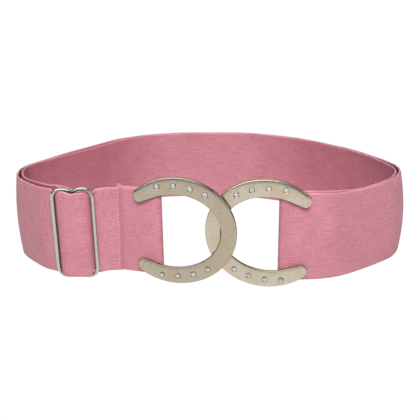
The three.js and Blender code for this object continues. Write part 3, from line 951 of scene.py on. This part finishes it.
weave = Paint("woven_elastic", Specular_IOR_Level=0.3)
heather = weave.noise(weave.place((0.2, 1, 1), uv=True), 0.5, rough=0.7)
dashes = weave.noise(weave.place((0.06, 1, 1), uv=True), 0.7)
picks = weave.noise(weave.place((1, 0.08, 1), uv=True), 0.6)
blotch = weave.noise(weave.place(uv=True), 18.0, detail=2.0)
pick = weave.add("SeparateXYZ", {}, Vector=weave.place(uv=True))
lengthwise, crosswise = weave.out(pick, "X"), weave.out(pick, "Y")
rib = lengthwise.wave(0.95)
selvedge = crosswise.maths("ABSOLUTE").step(29.3, 29.6)
shade = heather * 0.36 + dashes * 0.32 + picks * 0.2 + blotch * 0.1 + rib * 0.04 - 0.02
shade = shade.step(0.38, 0.62)
# The inner layer's deeper pink is painted shade, for the dimmer light inside the loop. It fades in
# towards the belt's two sides.
sideways = weave.out(weave.add("SeparateXYZ", {}, Vector=weave.place()), "X")
painted_inner_shade = sideways.maths("ABSOLUTE").step(35, 90) * lengthwise.step(turn_back + 5, turn_back - 5)
base = weave.blend(painted_inner_shade, weave.blend(shade, *OUTER), weave.blend(shade, *INNER_SHADE_PINK))
# A lighter pink along both edges is a painted highlight, where the light catches the rounded edge.
base = weave.blend(selvedge * 0.5, base, EDGE_HIGHLIGHT_PINK)
# Along the seam's furrow the pink is deeper, broken up by the picks: painted shade in the furrow.
past = (lengthwise - float(seam_at) - crosswise * SLANT - FURROW_SHADE_AT) / FURROW_SHADE_WIDE
painted_furrow_shade = (past * past * -1).maths("EXPONENT") * picks.step(0.3, 0.55)
base = weave.blend(painted_furrow_shade * 0.65, base, FURROW_SHADE_PINK)
height = (heather * 0.6 + picks * 0.35 + dashes * 0.3 + rib * 0.2) * (selvedge * -0.7 + 1)
wear(band, weave.finish(base, 0.5 + heather * 0.12, height, 0.25, 0.9))

thread = Paint("thread", Sheen_Weight=0.2, Specular_IOR_Level=0.35)
twist = thread.noise(thread.place(), 0.4)
tone = thread.blend(twist, (0.66, 0.3, 0.36), (0.82, 0.47, 0.52))
thread_finish = thread.finish(tone, 0.6 + twist * 0.1, twist, 0.05)
wear(stitches, thread_finish)
wear(fray, thread_finish)

# %% [markdown]
# ## Plated metal
# The horseshoes are cast zinc with a satin nickel plate. Up close the plate is mottled, warmer in
# some places and cooler in others, with faint brush lines. The slider is drawn wire with a bright
# plate, so it is smoother and whiter.

# %% Metals
COOL, GOLDEN, DUSKY = (0.54, 0.49, 0.405), (0.53, 0.44, 0.32), (0.34, 0.29, 0.22)


def satin_nickel(name, light):
    """Satin plate, its three tones scaled by light. Each horseshoe gets its own copy of one plate,
    lighter or darker: painted light and shade, for how the light falls on it.
    """
    cool, golden, dusky = (tuple(light * c for c in tone) for tone in (COOL, GOLDEN, DUSKY))
    satin = Paint(name, Metallic=1.0, Specular_Tint=(0.45, 0.4, 0.35, 1))
    warm = satin.noise(satin.place(), 11.0, detail=2.0).step(0.38, 0.62)
    mottle = satin.noise(satin.place(), 1.6, detail=4.0, rough=0.7)
    grain = satin.noise(satin.place((1, 1, 0.35)), 0.3)
    speckle = (mottle * 0.6 + grain * 0.4).step(0.34, 0.66)
    tone = satin.blend(speckle * 0.5, satin.blend(warm, golden, cool), dusky)
    rough, height = 0.16 + mottle * 0.09 + grain * 0.07, grain * 0.6 + mottle * 0.6
    return satin.finish(tone, rough, height, 0.035, 0.6)


# The right horseshoe's plate is painted lighter and the left's darker: painted light and shade.
for shoe, light in zip(shoes, (0.97, 1.2)):
    wear(shoe, satin_nickel(shoe.name + "_nickel", light))

bright = Paint("bright_nickel", Metallic=1.0)
haze = bright.noise(bright.place(), 2.0)
tone = bright.blend(haze, (0.46, 0.46, 0.44), (0.56, 0.56, 0.545))
wear(slider, bright.finish(tone, 0.12 + haze * 0.08, haze, 0.02, 0.4))

# %% [markdown]
# ## Stones
# The stones are small and clear, with a mirrored back, so they look grey and white rather than
# transparent. They are the solids themselves: each already has its table and its facets, so only
# the finish is new. A coat on a slightly cloudy mirror gives the two kinds of glint.

# %% Stones
crystal = Paint("foiled_crystal", Metallic=0.55, Coat_Weight=1.0, Coat_Roughness=0.02)
cloud = crystal.noise(crystal.place(), 1.2)
tone = crystal.blend(cloud.step(0.35, 0.65), (0.3, 0.28, 0.25), (0.64, 0.61, 0.56))
crystal_finish = crystal.finish(tone, 0.08 + cloud * 0.05, cloud, 0.01, 0.2)
stones = [o for name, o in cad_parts.items() if "_stone_" in name]
for stone in stones:
    wear(stone, crystal_finish)
print("stones", len(stones))

# %% [markdown]
# ## Floor and light
# The belt stands on a light table: a white sheet that glows evenly, so it shows no shadow and
# lights the belt softly from below. A soft light in front and above gives the front its brightness,
# a second one behind puts a bright line on the upper edges of the metal, and a broad sun overhead
# catches the upper edge of the elastic. The metal mirrors three panels of its own that light
# nothing else, because the front light would stand in the plates as a glare. The dark gap between
# the high and the low panel is the dusky band under each plate's upper rim.

# %% Floor and light
# Lengths in this cell are in metres. The sheet reaches this far to each side.
FAR = 30.0
corners = [(-FAR, -FAR, 0), (FAR, -FAR, 0), (FAR, FAR, 0), (-FAR, FAR, 0)]
floor_mesh = bpy.data.meshes.new("floor")
floor_mesh.from_pydata(corners, [], [(0, 1, 2, 3)])
floor = new_object("floor", floor_mesh)
BLACK, WHITE = (0, 0, 0, 1), (1, 1, 1, 1)
emission = {"Emission_Color": WHITE, "Emission_Strength": 1.02}
glow = Paint("glowing_sheet", Base_Color=BLACK, Specular_IOR_Level=0.0, Roughness=0.9, **emission)
wear(floor, glow.material)


def soft_light(name, place, aim, width, height, power):
    """A rectangular light of so many watts at a place, turned to face its aim."""
    light = bpy.data.lights.new(name, "AREA")
    light.shape, light.size, light.size_y, light.energy = "RECTANGLE", width, height, power
    made = new_object(name, light)
    made.location = place
    made.rotation_mode = "QUATERNION"
    made.rotation_quaternion = (Vector(place) - Vector(aim)).to_track_quat("Z", "Y")
    return made


# The front light isn't mirrored in the metal, and the three panels are mirrored only.
key = soft_light("front", (0.03, -1.05, 0.95), (0, -0.05, 0.03), 0.7, 0.6, 27.0)
key.visible_glossy = False
panels = [
    soft_light("high_panel", (-0.65, -0.95, 0.95), (0, -0.05, 0.03), 1.6, 0.9, 10.5),
    soft_light("low_panel", (0, -1.5, 0.66), (0, 0, 0.66), 3.0, 0.4, 0.3),
    soft_light("right_panel", (1.1, -0.6, 0.75), (0.05, -0.05, 0.03), 0.7, 0.9, 3.2),
]
for panel in panels:
    panel.visible_diffuse = False
soft_light("behind", (-0.3, 1.4, 0.75), (0, 0, 0.05), 1.8, 0.8, 5.0)
sun = bpy.data.lights.new("overhead", "SUN")
sun.energy, sun.angle = 0.7, math.radians(70)
new_object("overhead", sun)
world = bpy.data.worlds.new("studio")
world.use_nodes = True
background = world.node_tree.nodes["Background"].inputs
background["Color"].default_value, background["Strength"].default_value = WHITE, 0.08
bpy.context.scene.world = world
bpy.context.scene.view_settings.view_transform = "Standard"
